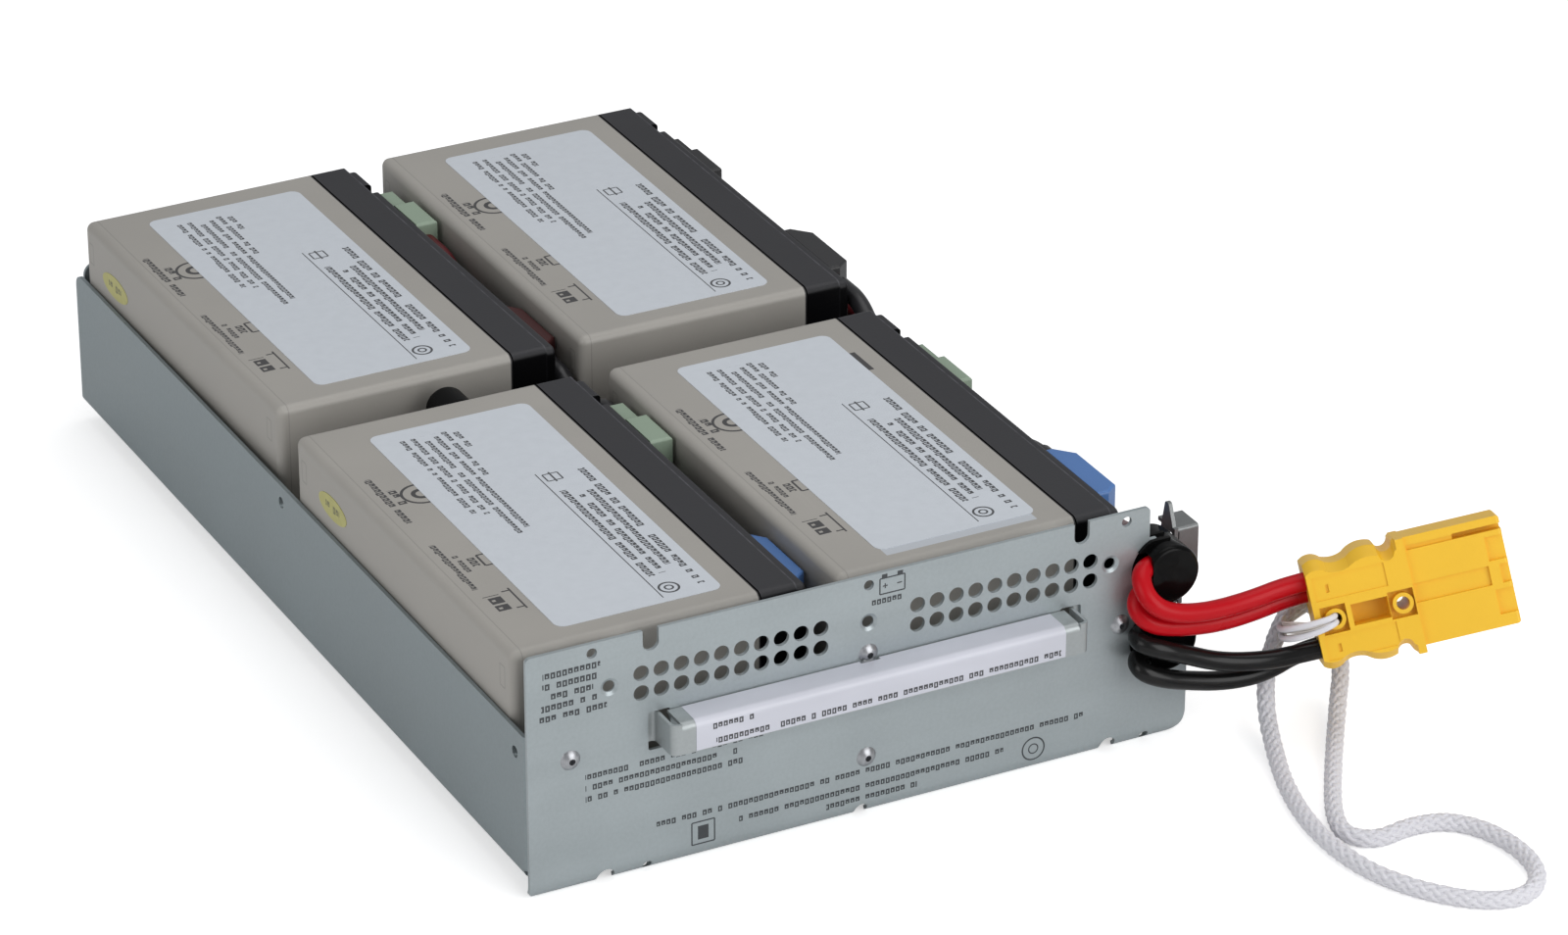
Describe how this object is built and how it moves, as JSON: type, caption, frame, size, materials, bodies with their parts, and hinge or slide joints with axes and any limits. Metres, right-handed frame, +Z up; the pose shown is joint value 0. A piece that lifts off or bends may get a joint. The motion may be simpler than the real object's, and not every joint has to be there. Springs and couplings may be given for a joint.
{
  "type": "battery cartridge",
  "caption": "Battery cartridge of a rack power supply: sealed lead-acid batteries in a folded steel tray with perforated front, bow handle, cables and pull cord.",
  "frame": {"origin": "under the middle of the cartridge, at the height of the front panel's lower lip, measured without the free cables, their connector and the pull cord", "axes": "+X to the right seen from the front, +Y from the front panel to the rear, +Z up"},
  "size_m": [0.302, 0.4704, 0.0777],
  "materials": {
    "sheet_steel": "satin",
    "panel_steel": "satin",
    "dark_steel": "satin",
    "white_film": "satin",
    "rivet_metal": "satin",
    "bushing_black": "glossy",
    "rubber_black": "satin",
    "case_grey": "satin",
    "cover_black": "satin",
    "label_silver": "satin",
    "contact_metal": "bright",
    "boot_blue": "satin",
    "boot_green": "satin",
    "cable_red": "satin",
    "cable_black": "satin",
    "connector_yellow": "satin",
    "cord_white": "braided",
    "sticker_yellow": "satin"
  },
  "bodies": {
    "root": {"tray": "sheet_steel", "front_panel": "panel_steel", "handle": "sheet_steel", "handle_label": "white_film", "panel_rivets": "rivet_metal", "upper_bushing": "bushing_black", "lower_bushing": "bushing_black", "side_bracket": "dark_steel", "bracket_rivet": "rivet_metal", "fuse_holder": "rubber_black", "red_cable_upper": "cable_red", "red_cable_lower": "cable_red", "black_cable_upper": "cable_black", "black_cable_lower": "cable_black", "connector_housing": "connector_yellow", "connector_contacts": "contact_metal", "pull_cord": "cord_white", "cord_lashing": "cord_white", "date_sticker_fl": "sticker_yellow", "date_sticker_rl": "sticker_yellow", "fuse_wire_front": "cable_black", "fuse_wire_rear": "cable_black", "link_wire_right": "cable_black", "lead_left_front": "cable_black", "lead_left_rear": "cable_red", "lead_right_front": "cable_black", "lead_right_rear": "cable_red", "battery_case_fl": "case_grey", "battery_cover_fl": "cover_black", "battery_label_fl": "label_silver", "terminals_fl": "contact_metal", "front_boot_fl": "boot_blue", "rear_boot_fl": "boot_green", "battery_case_fr": "case_grey", "battery_cover_fr": "cover_black", "battery_label_fr": "label_silver", "terminals_fr": "contact_metal", "front_boot_fr": "boot_blue", "rear_boot_fr": "boot_green", "battery_case_rl": "case_grey", "battery_cover_rl": "cover_black", "battery_label_rl": "label_silver", "terminals_rl": "contact_metal", "front_boot_rl": "boot_blue", "rear_boot_rl": "boot_green", "battery_case_rr": "case_grey", "battery_cover_rr": "cover_black", "battery_label_rr": "label_silver", "terminals_rr": "contact_metal", "front_boot_rr": "boot_blue", "rear_boot_rr": "boot_green"}
  },
  "joints": []
}
